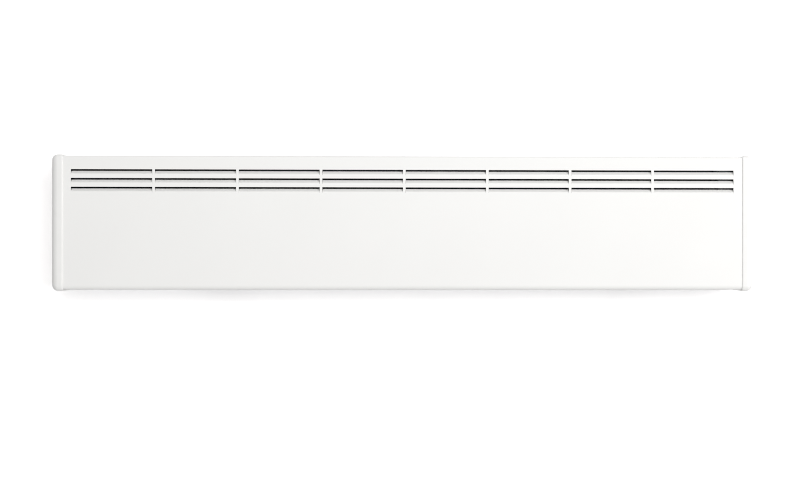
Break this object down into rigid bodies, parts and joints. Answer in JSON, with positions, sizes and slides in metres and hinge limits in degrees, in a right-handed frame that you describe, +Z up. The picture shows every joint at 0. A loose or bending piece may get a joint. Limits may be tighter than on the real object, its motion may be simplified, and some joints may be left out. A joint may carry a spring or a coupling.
{
  "type": "wall panel convector heater",
  "caption": "Low, long wall-hung panel convector with a white sheet casing, rows of lanced front louvres, rounded end caps, side controls and a tilt-out wall bracket.",
  "frame": {"origin": "on the wall plane, at the middle of the wall bracket's rear face, half way along and half way up the heater", "axes": "+X along the heater to the right as seen from the front, +Y to the wall, +Z up; the louvred front faces -Y"},
  "size_m": [1.03, 0.086, 0.2],
  "materials": {
    "powder_white": "satin",
    "plastic_white": "satin",
    "zinc_steel": "satin",
    "black_steel": "matte",
    "bright_steel": "satin",
    "aluminium": "satin",
    "ceramic": "matte",
    "plastic_grey": "matte",
    "plastic_dark": "matte",
    "brass": "satin",
    "lamp_amber": "glossy",
    "wire_brown": "satin",
    "wire_blue": "satin",
    "wire_green": "satin"
  },
  "bodies": {
    "bracket": {"wall_bracket": "zinc_steel"},
    "lock_left": {"bracket_lock_left": "plastic_grey"},
    "lock_right": {"bracket_lock_right": "plastic_grey"},
    "heater": {"front_casing": "powder_white", "rear_panel": "zinc_steel", "left_end_cap": "plastic_white", "right_end_cap": "plastic_white", "left_cap_screw_upper": "bright_steel", "left_cap_screw_lower": "bright_steel", "right_cap_screw_upper": "bright_steel", "right_cap_screw_lower": "bright_steel", "panel_screw_upper_left": "bright_steel", "panel_screw_lower_left": "bright_steel", "panel_screw_upper_middle": "bright_steel", "panel_screw_lower_middle": "bright_steel", "panel_screw_upper_right": "bright_steel", "panel_screw_lower_right": "bright_steel", "chassis_screw_upper": "bright_steel", "chassis_screw_lower": "bright_steel", "element_fins": "aluminium", "heating_rod": "bright_steel", "element_bracket_left": "zinc_steel", "element_bracket_centre": "zinc_steel", "element_bracket_right": "zinc_steel", "rod_bush_left": "ceramic", "rod_bush_right": "ceramic", "rod_insulator_left": "ceramic", "rod_insulator_right": "ceramic", "air_deflector": "black_steel", "control_chassis": "plastic_dark", "chassis_lid": "plastic_dark", "thermostat_body": "plastic_dark", "indicator_lens": "lamp_amber", "switch_housing": "plastic_dark", "terminal_block": "plastic_grey", "cord_gland": "plastic_dark", "overheat_cutout": "plastic_dark", "earth_screw": "brass", "wire_live_to_switch": "wire_brown", "wire_switch_to_thermostat": "wire_brown", "wire_thermostat_to_cutout": "wire_brown", "wire_cutout_to_element": "wire_brown", "wire_element_return": "wire_blue", "wire_earth": "wire_green", "wire_clip_left": "plastic_dark", "wire_clip_right": "plastic_dark"},
    "dial": {"thermostat_knob": "plastic_white", "thermostat_shaft": "brass"},
    "rocker": {"switch_rocker": "plastic_white"}
  },
  "joints": [
    {"name": "heater_tilt", "type": "hinge", "parent": "bracket", "child": "heater", "pos_m": [0, -0.0255, -0.078], "axis": [1, 0, 0], "range_deg": [0, 20]},
    {"name": "lock_left_turn", "type": "hinge", "parent": "bracket", "child": "lock_left", "pos_m": [-0.3, -0.02, 0.07], "axis": [0, -1, 0], "range_deg": [0, 90]},
    {"name": "lock_right_turn", "type": "hinge", "parent": "bracket", "child": "lock_right", "pos_m": [0.3, -0.02, 0.07], "axis": [0, 1, 0], "range_deg": [0, 90]},
    {"name": "dial_turn", "type": "hinge", "parent": "heater", "child": "dial", "pos_m": [0.507, -0.05131, 0.056], "axis": [1, 0, 0], "range_deg": [-140, 140]},
    {"name": "switch_rock", "type": "hinge", "parent": "heater", "child": "rocker", "pos_m": [0.5049, -0.05131, 0.008], "axis": [0, 1, 0], "range_deg": [-16, 0]}
  ]
}
